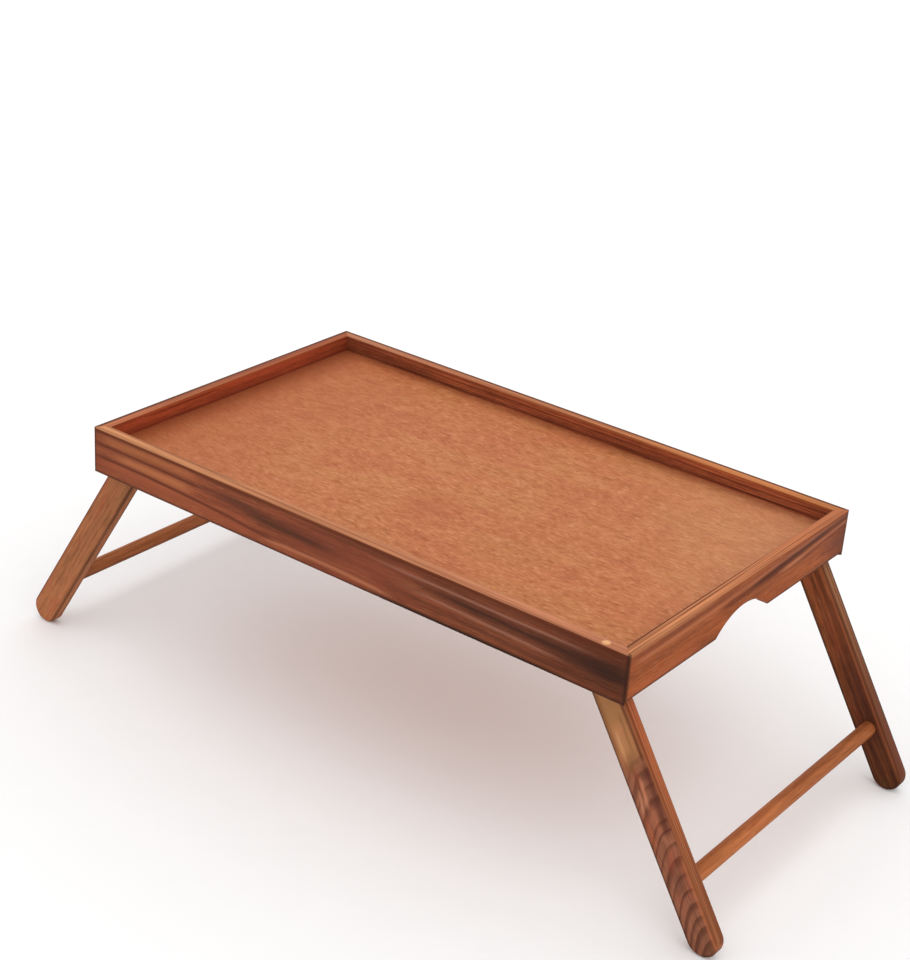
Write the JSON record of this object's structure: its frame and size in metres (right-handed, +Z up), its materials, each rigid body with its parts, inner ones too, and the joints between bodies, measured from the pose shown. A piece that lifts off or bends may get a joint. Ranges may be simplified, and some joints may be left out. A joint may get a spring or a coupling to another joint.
{
  "type": "folding tray table",
  "caption": "Low wooden bed tray with a raised rim, hand-hold arches and two leg frames that fold flat under it.",
  "frame": {"origin": "on the floor, below the middle of the tray, with the legs open", "axes": "+X along the tray to its right end, +Y across it to the back, +Z up"},
  "size_m": [0.6724, 0.3, 0.207],
  "materials": {
    "long_rail_wood": "satin",
    "end_rail_wood": "satin",
    "panel_plywood": "satin",
    "leg_wood": "satin",
    "stretcher_wood": "satin",
    "zinc_steel": "satin",
    "brad_steel": "bright"
  },
  "bodies": {
    "tray": {"front_rail": "long_rail_wood", "back_rail": "long_rail_wood", "left_end_rail": "end_rail_wood", "right_end_rail": "end_rail_wood", "tray_panel": "panel_plywood", "front_left_pivot_screw": "zinc_steel", "front_right_pivot_screw": "zinc_steel", "back_left_pivot_screw": "zinc_steel", "back_right_pivot_screw": "zinc_steel", "front_left_head_washer": "zinc_steel", "front_right_head_washer": "zinc_steel", "back_left_head_washer": "zinc_steel", "back_right_head_washer": "zinc_steel", "front_left_spacer_washer": "zinc_steel", "front_right_spacer_washer": "zinc_steel", "back_left_spacer_washer": "zinc_steel", "back_right_spacer_washer": "zinc_steel", "front_left_corner_brads": "brad_steel", "front_right_corner_brads": "brad_steel", "back_left_corner_brads": "brad_steel", "back_right_corner_brads": "brad_steel"},
    "left_legs": {"front_left_leg": "leg_wood", "back_left_leg": "leg_wood", "left_stretcher": "stretcher_wood"},
    "right_legs": {"front_right_leg": "leg_wood", "back_right_leg": "leg_wood", "right_stretcher": "stretcher_wood"}
  },
  "joints": [
    {"name": "left_leg_fold", "type": "hinge", "parent": "tray", "child": "left_legs", "pos_m": [-0.22319, 0, 0.176], "axis": [0, -1, 0], "range_deg": [0, 121.6]},
    {"name": "right_leg_fold", "type": "hinge", "parent": "tray", "child": "right_legs", "pos_m": [0.22319, 0, 0.176], "axis": [0, 1, 0], "range_deg": [0, 121.6]}
  ]
}
